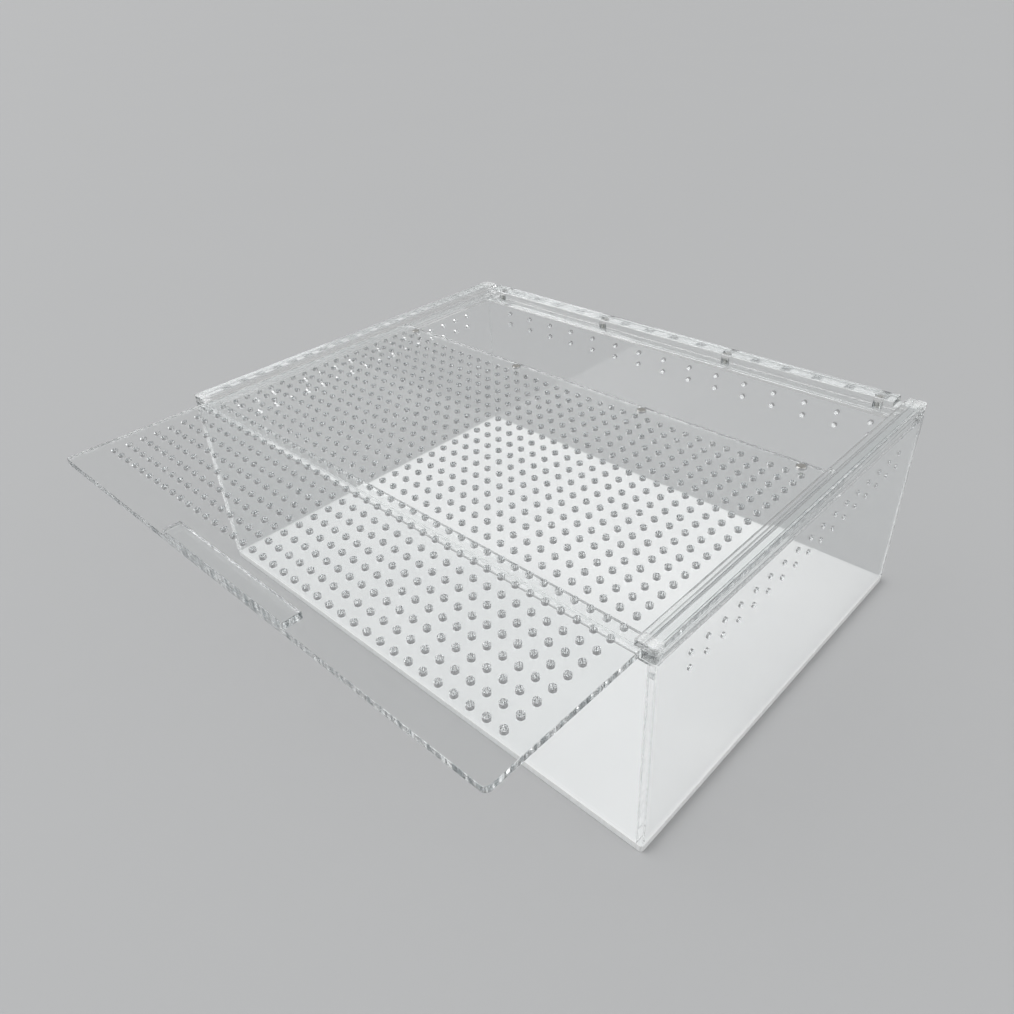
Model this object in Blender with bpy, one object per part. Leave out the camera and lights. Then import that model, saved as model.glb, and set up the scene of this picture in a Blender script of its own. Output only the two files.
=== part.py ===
"""Clear acrylic terrarium with a perforated lid that slides forwards out of its grooves.

A box of clear sheet stands on a white floor panel. Ledges, spacers and top strips form the
grooves that the lid runs in, and small disc magnets hold the lid shut at its rear edge.

Metres, +Z up. The origin is the centre of the floor panel's underside, +X points to the right
as seen from the front, and +Y points to the back.
"""

from math import floor, pi

import bmesh
import bpy
from mathutils import Matrix, Vector

# Box of glued sheet
BOX_WIDTH = 0.400
BOX_DEPTH = 0.300
WALL_THICKNESS = 0.004
WALL_HEIGHT = 0.1326

# White floor panel under the walls
FLOOR_THICKNESS = 0.005
FLOOR_CORNER_RADIUS = 0.002

# Gap between two pieces that are bonded together or rest on each other
JOINT_GAP = 0.0003

# Vent holes in two rows under the top edge of the side and back walls
VENT_DIAMETER = 0.003
VENT_SIDES = 8
VENT_ROWS = 2
VENT_ROW_PITCH = 0.010
VENT_TOP_MARGIN = 0.0146
VENT_END_MARGIN = 0.024
BACK_VENT_PITCH = 0.0241
SIDE_VENT_PITCH = 0.01485

# Lid panel, its running clearances, and how far it is drawn out at rest
LID_THICKNESS = 0.004
LID_CORNER_RADIUS = 0.003
LID_SIDE_CLEARANCE = 0.0005
LID_STOP_CLEARANCE = 0.0005
LID_HEADROOM = 0.0006
LID_DRAWN_OUT = 0.097

# Perforation of the lid: every second column and every second row of a finer lattice
LID_HOLE_DIAMETER = 0.004
LID_HOLE_SIDES = 8
LID_HOLE_COLUMN_PITCH = 0.0098
LID_HOLE_ROW_PITCH = 0.00995
LID_HOLE_SIDE_MARGIN = 0.0149
LID_HOLE_FRONT_MARGIN = 0.0258
LID_HOLE_REAR_MARGIN = 0.013
LID_HOLE_STEP = 2

# Handle bar bonded on the lid, flush with its front edge
HANDLE_LENGTH = 0.117
HANDLE_DEPTH = 0.011
HANDLE_HEIGHT = 0.004

# Disc magnets in the lid's rear edge and in the back spacer
MAGNET_DIAMETER = 0.006
MAGNET_SIDES = 24
MAGNETS_IN_ROW = 4
MAGNET_END_MARGIN = 0.0196
LID_MAGNET_WALL = 0.0012
BOX_MAGNET_WALL = 0.0024

# Ledges under the lid, flush with the top of the walls
LEDGE_WIDTH = 0.008
LEDGE_THICKNESS = 0.004

# Spacers and top strips that close the grooves
SIDE_SPACER_WIDTH = 0.008
TOP_STRIP_WIDTH = 0.012
TOP_STRIP_THICKNESS = 0.004
TOP_STRIP_END_GAP = 0.005
RIM_CORNER_RADIUS = 0.002

# Arc segments of a rounded corner, and how far a cutter runs past the piece it cuts
CORNER_SEGMENTS = 6
CUT_OVERRUN = 0.002

# Sizes that follow from the ones above
HALF_WIDTH = BOX_WIDTH / 2
HALF_DEPTH = BOX_DEPTH / 2
WALL_BASE = FLOOR_THICKNESS + JOINT_GAP
WALL_TOP = WALL_BASE + WALL_HEIGHT
INNER_HALF_WIDTH = HALF_WIDTH - WALL_THICKNESS - JOINT_GAP
INNER_HALF_DEPTH = HALF_DEPTH - WALL_THICKNESS - JOINT_GAP
SPACER_BASE = WALL_TOP + JOINT_GAP
SPACER_TOP = SPACER_BASE + LID_THICKNESS + LID_HEADROOM
STRIP_BASE = SPACER_TOP + JOINT_GAP
STRIP_TOP = STRIP_BASE + TOP_STRIP_THICKNESS
LID_BASE = WALL_TOP + JOINT_GAP
LID_TOP = LID_BASE + LID_THICKNESS
MAGNET_HOLE_DIAMETER = MAGNET_DIAMETER + 2 * JOINT_GAP
BACK_SPACER_WIDTH = MAGNET_HOLE_DIAMETER + 2 * BOX_MAGNET_WALL
LID_HALF_WIDTH = HALF_WIDTH - SIDE_SPACER_WIDTH - LID_SIDE_CLEARANCE
LID_DEPTH = BOX_DEPTH - BACK_SPACER_WIDTH - LID_STOP_CLEARANCE
LID_FRONT = -HALF_DEPTH - LID_DRAWN_OUT
LID_REAR = LID_FRONT + LID_DEPTH
LID_CENTRE = Vector((0, (LID_FRONT + LID_REAR) / 2, LID_BASE))
MAGNET_PITCH = 2 * (LID_HALF_WIDTH - MAGNET_END_MARGIN) / (MAGNETS_IN_ROW - 1)
LID_MAGNET_LINE = LID_REAR - LID_MAGNET_WALL - MAGNET_HOLE_DIAMETER / 2
BOX_MAGNET_LINE = HALF_DEPTH - BACK_SPACER_WIDTH / 2

# Looks of the pieces: colour, roughness, metallic value and transmission
CLEAR_ACRYLIC = ((0.93, 0.97, 0.97, 1), 0.06, 0, 1)
WHITE_ACRYLIC = ((0.86, 0.87, 0.87, 1), 0.22, 0, 0)
NICKEL_PLATE = ((0.66, 0.66, 0.65, 1), 0.18, 1, 0)


def clear_scene():
    """Remove every object that the scene starts with."""
    for item in list(bpy.data.objects):
        bpy.data.objects.remove(item, do_unlink=True)


def make_material(name, looks):
    """Return a material of one piece from its colour, roughness, metallic and transmission."""
    colour, roughness, metallic, transmission = looks
    material = bpy.data.materials.new(name)
    material.use_nodes = True
    shader = material.node_tree.nodes["Principled BSDF"]
    shader.inputs["Base Color"].default_value = colour
    shader.inputs["Roughness"].default_value = roughness
    shader.inputs["Metallic"].default_value = metallic
    shader.inputs["Transmission Weight"].default_value = transmission
    return material


def add_object(name, mesh_data, place, looks=None, parent=None):
    """Link a new object that shows a bmesh, at a place, and return it."""
    mesh = bpy.data.meshes.new(name)
    mesh_data.to_mesh(mesh)
    mesh_data.free()
    item = bpy.data.objects.new(name, mesh)
    item.location = place
    bpy.context.scene.collection.objects.link(item)
    if looks is not None:
        mesh.materials.append(make_material(name, looks))
    if parent is not None:
        item.parent = parent
        item.location = place - parent.location
    return item


def is_upright(edge):
    """Tell whether an edge of a block runs along Z."""
    start, end = (vertex.co for vertex in edge.verts)
    return (start.xy - end.xy).length < JOINT_GAP


def add_plate(name, low, high, looks, parent=None, radius=0, rounded=lambda x, y: True):
    """Add a rectangular plate between two corners, and round the upright edges that are chosen.

    rounded takes an upright edge's x and y in the plate's own frame, centred on the plate.
    """
    low, high = Vector(low), Vector(high)
    block = bmesh.new()
    bmesh.ops.create_cube(block, size=1, matrix=Matrix.Diagonal((*(high - low), 1)))
    if radius > 0:
        corners = [e for e in block.edges if is_upright(e) and rounded(*e.verts[0].co.xy)]
        bmesh.ops.bevel(block, geom=corners, offset=radius, segments=CORNER_SEGMENTS, profile=0.5,
                        affect="EDGES")
    return add_object(name, block, (low + high) / 2, looks, parent)


def cut_round_holes(item, centres, diameter, sides, axis, length, label="vent"):
    """Cut round holes through a plate with one cutter.

    centres are in the world frame, axis is the direction the holes run in, and length is the
    plate's thickness along it.
    """
    turn = Vector((0, 0, 1)).rotation_difference(Vector(axis)).to_matrix().to_4x4()
    flat_up = Matrix.Rotation(pi / sides, 4, "Z")
    cutter = bmesh.new()
    for centre in centres:
        bmesh.ops.create_cone(cutter, cap_ends=True, segments=sides, radius1=diameter / 2,
                              radius2=diameter / 2, depth=length + 2 * CUT_OVERRUN,
                              matrix=Matrix.Translation(centre) @ turn @ flat_up)
    tool = add_object(f"{item.name}_{label}_drill", cutter, Vector((0, 0, 0)))
    tool.hide_render = True
    tool.display_type = "WIRE"
    cut = item.modifiers.new(f"{label}_holes", "BOOLEAN")
    cut.operation = "DIFFERENCE"
    cut.solver = "EXACT"
    cut.object = tool


def row_places(length, pitch):
    """Return the places of a centred row of vents on a wall of a given length."""
    gaps = max(0, floor((length - 2 * VENT_END_MARGIN) / pitch))
    return [(index - gaps / 2) * pitch for index in range(gaps + 1)]


def vent_heights():
    """Return the heights of the vent rows."""
    return [WALL_TOP - VENT_TOP_MARGIN - row * VENT_ROW_PITCH for row in range(VENT_ROWS)]


def coarse_row(first, gaps, pitch):
    """Return every second place of a row of holes with a given number of gaps."""
    return [first + index * pitch for index in range(0, gaps + 1, LID_HOLE_STEP)]


def lid_hole_centres():
    """Return the centres of the lid's perforation, halfway through the panel."""
    width = 2 * (LID_HALF_WIDTH - LID_HOLE_SIDE_MARGIN)
    depth = LID_DEPTH - LID_HOLE_FRONT_MARGIN - LID_HOLE_REAR_MARGIN
    column_gaps = floor(width / LID_HOLE_COLUMN_PITCH)
    row_gaps = floor(depth / LID_HOLE_ROW_PITCH)
    columns = coarse_row(-column_gaps * LID_HOLE_COLUMN_PITCH / 2, column_gaps, LID_HOLE_COLUMN_PITCH)
    rows = coarse_row(LID_FRONT + LID_HOLE_FRONT_MARGIN, row_gaps, LID_HOLE_ROW_PITCH)
    middle = (LID_BASE + LID_TOP) / 2
    return [Vector((x, y, middle)) for x in columns for y in rows]


def magnet_places():
    """Return the places of the magnets along the rear edge."""
    first = -MAGNET_PITCH * (MAGNETS_IN_ROW - 1) / 2
    return [first + index * MAGNET_PITCH for index in range(MAGNETS_IN_ROW)]


def add_floor_panel():
    """Add the white panel that the walls stand on."""
    add_plate("floor_panel", (-HALF_WIDTH, -HALF_DEPTH, 0), (HALF_WIDTH, HALF_DEPTH, FLOOR_THICKNESS),
              WHITE_ACRYLIC, radius=FLOOR_CORNER_RADIUS)


def add_side_wall(name, side):
    """Add a side wall over the full depth of the box, with its vents."""
    outer = side * HALF_WIDTH
    inner = outer - side * WALL_THICKNESS
    wall = add_plate(name, (min(outer, inner), -HALF_DEPTH, WALL_BASE),
                     (max(outer, inner), HALF_DEPTH, WALL_TOP), CLEAR_ACRYLIC)
    middle = (outer + inner) / 2
    places = row_places(BOX_DEPTH, SIDE_VENT_PITCH)
    centres = [Vector((middle, y, z)) for y in places for z in vent_heights()]
    cut_round_holes(wall, centres, VENT_DIAMETER, VENT_SIDES, (1, 0, 0), WALL_THICKNESS)


def add_cross_wall(name, side, vented):
    """Add the front or back wall between the side walls."""
    outer = side * HALF_DEPTH
    inner = outer - side * WALL_THICKNESS
    wall = add_plate(name, (-INNER_HALF_WIDTH, min(outer, inner), WALL_BASE),
                     (INNER_HALF_WIDTH, max(outer, inner), WALL_TOP), CLEAR_ACRYLIC)
    if vented:
        middle = (outer + inner) / 2
        places = row_places(2 * INNER_HALF_WIDTH, BACK_VENT_PITCH)
        centres = [Vector((x, middle, z)) for x in places for z in vent_heights()]
        cut_round_holes(wall, centres, VENT_DIAMETER, VENT_SIDES, (0, 1, 0), WALL_THICKNESS)


def add_ledges():
    """Add the four ledges that run round the inside of the box, level with the top of the walls."""
    base = WALL_TOP - LEDGE_THICKNESS
    side_inner = INNER_HALF_WIDTH - LEDGE_WIDTH
    cross_end = side_inner - JOINT_GAP
    cross_inner = INNER_HALF_DEPTH - LEDGE_WIDTH
    add_plate("left_ledge", (-INNER_HALF_WIDTH, -INNER_HALF_DEPTH, base),
              (-side_inner, INNER_HALF_DEPTH, WALL_TOP), CLEAR_ACRYLIC)
    add_plate("right_ledge", (side_inner, -INNER_HALF_DEPTH, base),
              (INNER_HALF_WIDTH, INNER_HALF_DEPTH, WALL_TOP), CLEAR_ACRYLIC)
    add_plate("front_ledge", (-cross_end, -INNER_HALF_DEPTH, base),
              (cross_end, -cross_inner, WALL_TOP), CLEAR_ACRYLIC)
    add_plate("back_ledge", (-cross_end, cross_inner, base),
              (cross_end, INNER_HALF_DEPTH, WALL_TOP), CLEAR_ACRYLIC)


def add_side_rim(name, side, width, base, top):
    """Add a strip along the top of a side wall, with its two outer corners rounded."""
    outer = side * HALF_WIDTH
    inner = outer - side * width
    return add_plate(name, (min(outer, inner), -HALF_DEPTH, base), (max(outer, inner), HALF_DEPTH, top),
                     CLEAR_ACRYLIC, radius=RIM_CORNER_RADIUS, rounded=lambda x, y: x * side > 0)


def add_spacers():
    """Add the spacers beside and behind the lid. The back one has a hole for each magnet."""
    add_side_rim("left_spacer", -1, SIDE_SPACER_WIDTH, SPACER_BASE, SPACER_TOP)
    add_side_rim("right_spacer", 1, SIDE_SPACER_WIDTH, SPACER_BASE, SPACER_TOP)
    end = HALF_WIDTH - SIDE_SPACER_WIDTH - JOINT_GAP
    back = add_plate("back_spacer", (-end, HALF_DEPTH - BACK_SPACER_WIDTH, SPACER_BASE),
                     (end, HALF_DEPTH, SPACER_TOP), CLEAR_ACRYLIC)
    middle = (SPACER_BASE + SPACER_TOP) / 2
    centres = [Vector((x, BOX_MAGNET_LINE, middle)) for x in magnet_places()]
    cut_round_holes(back, centres, MAGNET_HOLE_DIAMETER, MAGNET_SIDES, (0, 0, 1),
                    SPACER_TOP - SPACER_BASE, "magnet")


def add_top_strips():
    """Add the strips that reach over the lid, with an open gap at each end of the back one."""
    add_side_rim("left_top_strip", -1, TOP_STRIP_WIDTH, STRIP_BASE, STRIP_TOP)
    add_side_rim("right_top_strip", 1, TOP_STRIP_WIDTH, STRIP_BASE, STRIP_TOP)
    end = HALF_WIDTH - TOP_STRIP_WIDTH - TOP_STRIP_END_GAP
    add_plate("back_top_strip", (-end, HALF_DEPTH - TOP_STRIP_WIDTH, STRIP_BASE),
              (end, HALF_DEPTH, STRIP_TOP), CLEAR_ACRYLIC)


def add_magnet(name, x, y, base, parent=None):
    """Add one disc magnet on its base, with a smooth round side."""
    disc = bmesh.new()
    bmesh.ops.create_cone(disc, cap_ends=True, segments=MAGNET_SIDES, radius1=MAGNET_DIAMETER / 2,
                          radius2=MAGNET_DIAMETER / 2, depth=LID_THICKNESS)
    item = add_object(name, disc, Vector((x, y, base + LID_THICKNESS / 2)), NICKEL_PLATE, parent)
    item.data.shade_smooth()
    item.data.set_sharp_from_angle(angle=pi / 4)


def add_box_magnets():
    """Add the magnets that stay in the back spacer."""
    for number, x in enumerate(magnet_places(), start=1):
        add_magnet(f"box_magnet_{number}", x, BOX_MAGNET_LINE, SPACER_BASE)


def add_lid():
    """Add the sliding lid with its handle and magnets, all on one empty that slides along Y."""
    runner = bpy.data.objects.new("lid_runner", None)
    runner.location = LID_CENTRE
    bpy.context.scene.collection.objects.link(runner)
    panel = add_plate("lid_panel", (-LID_HALF_WIDTH, LID_FRONT, LID_BASE),
                      (LID_HALF_WIDTH, LID_REAR, LID_TOP), CLEAR_ACRYLIC, runner, LID_CORNER_RADIUS)
    middle = (LID_BASE + LID_TOP) / 2
    centres = [Vector((x, LID_MAGNET_LINE, middle)) for x in magnet_places()]
    cut_round_holes(panel, centres, MAGNET_HOLE_DIAMETER, MAGNET_SIDES, (0, 0, 1), LID_THICKNESS, "magnet")
    cut_round_holes(panel, lid_hole_centres(), LID_HOLE_DIAMETER, LID_HOLE_SIDES, (0, 0, 1), LID_THICKNESS)
    for number, x in enumerate(magnet_places(), start=1):
        add_magnet(f"lid_magnet_{number}", x, LID_MAGNET_LINE, LID_BASE, runner)
    handle_base = LID_TOP + JOINT_GAP
    add_plate("lid_handle", (-HANDLE_LENGTH / 2, LID_FRONT, handle_base),
              (HANDLE_LENGTH / 2, LID_FRONT + HANDLE_DEPTH, handle_base + HANDLE_HEIGHT),
              CLEAR_ACRYLIC, runner)


def main():
    """Build the terrarium piece by piece, from the floor up."""
    clear_scene()
    add_floor_panel()
    add_side_wall("left_wall", -1)
    add_side_wall("right_wall", 1)
    add_cross_wall("front_wall", -1, vented=False)
    add_cross_wall("back_wall", 1, vented=True)
    add_ledges()
    add_spacers()
    add_top_strips()
    add_box_magnets()
    add_lid()


main()
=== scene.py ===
"""Looks of a clear acrylic terrarium whose perforated lid slides forwards in its rails.

Every sheet of the box is rebuilt over its own solid, with chamfered laser-cut edges and round
holes. Sheets that are bonded on the real box meet here without a film of air between them, so
that light passes from one into the next. The lid keeps its running gaps.

Metres, +Z up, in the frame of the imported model.
"""

import logging
from dataclasses import dataclass, field
from enum import Enum
from math import pi, radians

import bpy
import numpy as np
from mathutils import Matrix, Vector


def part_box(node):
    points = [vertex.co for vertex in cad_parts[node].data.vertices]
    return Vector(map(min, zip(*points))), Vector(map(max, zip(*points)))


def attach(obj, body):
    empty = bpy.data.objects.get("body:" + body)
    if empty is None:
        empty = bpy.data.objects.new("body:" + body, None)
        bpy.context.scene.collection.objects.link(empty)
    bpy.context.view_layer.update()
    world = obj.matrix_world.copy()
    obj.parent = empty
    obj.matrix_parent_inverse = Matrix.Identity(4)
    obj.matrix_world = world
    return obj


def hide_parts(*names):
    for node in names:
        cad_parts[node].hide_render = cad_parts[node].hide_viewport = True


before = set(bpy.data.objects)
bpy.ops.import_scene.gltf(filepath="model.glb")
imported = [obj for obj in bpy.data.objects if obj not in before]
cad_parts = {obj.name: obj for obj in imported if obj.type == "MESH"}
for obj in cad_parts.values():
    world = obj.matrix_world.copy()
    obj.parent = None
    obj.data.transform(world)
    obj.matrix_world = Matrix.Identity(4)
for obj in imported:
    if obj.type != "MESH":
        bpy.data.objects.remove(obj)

REPORT = logging.getLogger("terrarium")

# Gap that the solids keep between bonded pieces, and how far the bonded sheets reach past it
SOLID_GAP = 0.0003
BOND_OVERLAP = 0.00003

# Lines of a sheet's grid that are closer than this are one line
SAME_LINE = 1e-6

# Share of a hole's square of grid at which its five lines lie, from its middle
BLOCK_LINE_SHARES = np.array((-0.5, -0.25, 0.0, 0.25, 0.5))

# The sixteen grid points round a hole's square, counter-clockwise from the middle of its side
BLOCK_RING = ((4, 2), (4, 3), (4, 4), (3, 4), (2, 4), (1, 4), (0, 4), (0, 3),
              (0, 2), (0, 1), (0, 0), (1, 0), (2, 0), (3, 0), (4, 0), (4, 1))

SHARP_ANGLE = radians(32)


class Thin(Enum):
    """The axis that a sheet is thin along. The value is the axes of its grid and its thickness."""

    ALONG_X = (1, 2, 0)
    ALONG_Y = (2, 0, 1)
    ALONG_Z = (0, 1, 2)


class Slot(Enum):
    """The record's material slots."""

    CLEAR = "clear_acrylic"
    WHITE = "white_acrylic"
    NICKEL = "nickel_plate"


class Wiring:
    """A shader node tree with short calls to fill it."""

    def __init__(self, tree: bpy.types.NodeTree) -> None:
        """Keep the tree that the calls below fill."""
        self.tree = tree

    def add(self, kind: str, inputs: dict | None = None, **settings: object) -> bpy.types.Node:
        """Add a node.

        Args:
            kind: The node's type, without the ShaderNode in front.
            inputs: Values or output sockets, by the input's name or number.
            **settings: Properties of the node.

        Returns:
            The new node.
        """
        node = self.tree.nodes.new("ShaderNode" + kind)
        for name, value in settings.items():
            setattr(node, name, value)
        for name, value in (inputs or {}).items():
            if isinstance(value, bpy.types.NodeSocket):
                self.tree.links.new(value, node.inputs[name])
            else:
                node.inputs[name].default_value = value
        return node

    def math(self, operation: str, *values: object) -> bpy.types.NodeSocket:
        """Add a Math node and return its output.

        Args:
            operation: The node's operation.
            *values: Numbers or output sockets, in order.

        Returns:
            The output socket.
        """
        return self.add("Math", dict(enumerate(values)), operation=operation).outputs[0]

    def remap(self, value: bpy.types.NodeSocket, start: float, end: float,
              low: float, high: float) -> bpy.types.NodeSocket:
        """Carry a value smoothly from one range to another.

        Args:
            value: The value that is read.
            start: The value that gives low.
            end: The value that gives high.
            low: The result at start and before it.
            high: The result at end and after it.

        Returns:
            The output socket.
        """
        node = self.add("MapRange", {"Value": value, "From Min": start, "From Max": end,
                                     "To Min": low, "To Max": high},
                        interpolation_type="SMOOTHSTEP")
        return node.outputs["Result"]

    def group(self, tree: bpy.types.NodeTree, inputs: dict) -> bpy.types.Node:
        """Add a node group with its inputs and return the node."""
        node = self.tree.nodes.new("ShaderNodeGroup")
        node.node_tree = tree
        for name, value in inputs.items():
            if isinstance(value, bpy.types.NodeSocket):
                self.tree.links.new(value, node.inputs[name])
            else:
                node.inputs[name].default_value = value
        return node


def new_group(name: str, inputs: dict[str, str], outputs: dict[str, str]) -> tuple[Wiring, dict, dict]:
    """Start a shader node group.

    Args:
        name: The group's name.
        inputs: The kind of each input socket, by name.
        outputs: The kind of each output socket, by name.

    Returns:
        The wiring of the group, its inputs to read from, and its outputs to link to.
    """
    tree = bpy.data.node_groups.new(name, "ShaderNodeTree")
    for title, kind in inputs.items():
        tree.interface.new_socket(title, in_out="INPUT", socket_type="NodeSocket" + kind)
    for title, kind in outputs.items():
        tree.interface.new_socket(title, in_out="OUTPUT", socket_type="NodeSocket" + kind)
    entry = tree.nodes.new("NodeGroupInput")
    leave = tree.nodes.new("NodeGroupOutput")
    return Wiring(tree), entry.outputs, leave.inputs


def make_striation_group() -> bpy.types.NodeTree:
    """Build the ripple that a laser leaves on a cut edge.

    The height is a fine noise and a coarse noise, both on coordinates that the caller has
    squeezed along the beam, so that they run as ridges from one face of the sheet to the other.

    Returns:
        The node group, with Height and Mask from 0 to 1.
    """
    wiring, reads, gives = new_group(
        "laser_striation", {"Vector": "Vector", "Ripple": "Float", "Sweep": "Float"},
        {"Height": "Float", "Mask": "Float"})
    fine_share = 0.6
    ridge_starts, ridge_full = 0.4, 0.62
    fine = wiring.add("TexNoise", {"Vector": reads["Vector"], "Scale": reads["Ripple"],
                                   "Detail": 3.0, "Roughness": 0.6})
    coarse = wiring.add("TexNoise", {"Vector": reads["Vector"], "Scale": reads["Sweep"],
                                     "Detail": 1.0, "Roughness": 0.5})
    height = wiring.math("ADD", wiring.math("MULTIPLY", fine.outputs["Fac"], fine_share),
                         wiring.math("MULTIPLY", coarse.outputs["Fac"], 1 - fine_share))
    mask = wiring.remap(fine.outputs["Fac"], ridge_starts, ridge_full, 0.0, 1.0)
    wiring.tree.links.new(height, gives["Height"])
    wiring.tree.links.new(mask, gives["Mask"])
    return wiring.tree


def make_handling_group() -> bpy.types.NodeTree:
    """Build the faint marks on a polished sheet: hairlines, dust and a slow waviness.

    Hairlines are where a noise that is long in one direction crosses its middle value. Dust is
    the centres of small Voronoi cells.

    Returns:
        The node group, with Marks from 0 to 1 and Wave as a height.
    """
    wiring, reads, gives = new_group(
        "handling_marks", {"Vector": "Vector"}, {"Marks": "Float", "Wave": "Float"})
    line_turn, line_scale = (0.3, 0.5, 0.7), (12.0, 300.0, 300.0)
    line_width, line_strength = 0.006, 0.5
    speck_scale, speck_core, speck_rim = 190.0, 0.02, 0.06
    wave_scale = 22.0
    long_way = wiring.add("Mapping", {"Vector": reads["Vector"], "Rotation": line_turn,
                                      "Scale": line_scale})
    lines = wiring.add("TexNoise", {"Vector": long_way.outputs[0], "Scale": 1.0, "Detail": 1.0})
    nearness = wiring.math("ABSOLUTE", wiring.math("SUBTRACT", lines.outputs["Fac"], 0.5))
    hairlines = wiring.remap(nearness, 0.0, line_width, line_strength, 0.0)
    specks = wiring.add("TexVoronoi", {"Vector": reads["Vector"], "Scale": speck_scale})
    dust = wiring.remap(specks.outputs["Distance"], speck_core, speck_rim, 1.0, 0.0)
    wave = wiring.add("TexNoise", {"Vector": reads["Vector"], "Scale": wave_scale, "Detail": 0.0})
    wiring.tree.links.new(wiring.math("MAXIMUM", hairlines, dust), gives["Marks"])
    wiring.tree.links.new(wave.outputs["Fac"], gives["Wave"])
    return wiring.tree


@dataclass(frozen=True)
class Groups:
    """The node groups that several finishes share."""

    striation: bpy.types.NodeTree = field(default_factory=make_striation_group)
    handling: bpy.types.NodeTree = field(default_factory=make_handling_group)


def start_material(name: str) -> tuple[bpy.types.Material, Wiring, bpy.types.NodeSocket]:
    """Start an empty material.

    Args:
        name: The material's name.

    Returns:
        The material, its wiring and the output's surface socket.
    """
    material = bpy.data.materials.new(name)
    material.use_nodes = True
    material.node_tree.nodes.clear()
    wiring = Wiring(material.node_tree)
    output = wiring.add("OutputMaterial")
    return material, wiring, output.inputs["Surface"]


def let_lamps_pass(wiring: Wiring, shader: bpy.types.NodeSocket, surface: bpy.types.NodeSocket,
                   passed: float) -> None:
    """Let the light of lamps, and light scattered by plain surfaces, go straight through.

    Args:
        wiring: The material's wiring.
        shader: The shader that the camera sees.
        surface: The material's surface socket.
        passed: The share of light that one face lets pass.
    """
    path = wiring.add("LightPath")
    straight = wiring.math("MAXIMUM", path.outputs["Is Shadow Ray"], path.outputs["Is Diffuse Ray"])
    clear = wiring.add("BsdfTransparent", {"Color": (passed, passed, passed, 1.0)})
    mix = wiring.add("MixShader", {0: straight, 1: shader, 2: clear.outputs[0]})
    wiring.tree.links.new(mix.outputs[0], surface)


@dataclass(frozen=True)
class PolishedAcrylic:
    """The polished face of clear cast sheet."""

    groups: Groups
    tint: tuple[float, float, float] = (0.98, 0.988, 0.988)
    refraction: float = 1.49
    least_rough: float = 0.0
    marked_rough: float = 0.10
    wave_height: float = 0.00004
    passed: float = 0.98
    haze_ends: float = 0.0
    hazed_rough: float = 0.34
    milky_share: float = 0.2
    haze_raggedness: float = 0.005
    haze_fade: float = 0.003
    ragged_scale: float = 260.0
    mottle_scale: float = 300.0
    mottle_least: float = 0.3

    def make(self, name: str) -> bpy.types.Material:
        """Build the material.

        Args:
            name: The material's name.

        Returns:
            The material, with hazed ends where haze_ends gives their distance from the middle.
        """
        material, wiring, surface = start_material(name)
        place = wiring.add("TexCoord").outputs["Object"]
        marks = wiring.group(self.groups.handling, {"Vector": place})
        rough = wiring.remap(marks.outputs["Marks"], 0.0, 1.0, self.least_rough, self.marked_rough)
        if self.haze_ends:
            haze = self.end_haze(wiring, place)
            rough = wiring.math("MAXIMUM", rough, wiring.math("MULTIPLY", haze, self.hazed_rough))
        wave = wiring.add("Bump", {"Height": marks.outputs["Wave"], "Strength": 1.0,
                                   "Distance": self.wave_height})
        glass = wiring.add("BsdfPrincipled", {
            "Base Color": (*self.tint, 1.0), "Roughness": rough, "IOR": self.refraction,
            "Transmission Weight": 1.0, "Normal": wave.outputs[0]})
        shader = glass.outputs[0]
        if self.haze_ends:
            milk = wiring.add("BsdfPrincipled", {
                "Base Color": (*self.tint, 1.0), "Roughness": rough, "IOR": self.refraction,
                "Normal": wave.outputs[0]})
            share = wiring.math("MULTIPLY", haze, self.milky_share)
            shader = wiring.add("MixShader", {0: share, 1: shader, 2: milk.outputs[0]}).outputs[0]
        let_lamps_pass(wiring, shader, surface, self.passed)
        return material

    def end_haze(self, wiring: Wiring, place: bpy.types.NodeSocket) -> bpy.types.NodeSocket:
        """Make the haze that the solvent leaves at both ends of a rail.

        Args:
            wiring: The material's wiring.
            place: The object coordinates.

        Returns:
            The haze from 0 to 1, which rises past haze_ends from the middle along Y.
        """
        along = wiring.add("SeparateXYZ", {0: place}).outputs["Y"]
        ragged = wiring.add("TexNoise", {"Vector": place, "Scale": self.ragged_scale, "Detail": 2.0})
        reach = wiring.math("ADD", wiring.math("ABSOLUTE", along),
                            wiring.math("MULTIPLY", ragged.outputs["Fac"], self.haze_raggedness))
        mottle = wiring.add("TexNoise", {"Vector": place, "Scale": self.mottle_scale, "Detail": 1.0})
        full = wiring.remap(mottle.outputs["Fac"], 0.35, 0.65, self.mottle_least, 1.0)
        fade = wiring.remap(reach, self.haze_ends, self.haze_ends + self.haze_fade, 0.0, 1.0)
        return wiring.math("MULTIPLY", full, fade)


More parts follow.
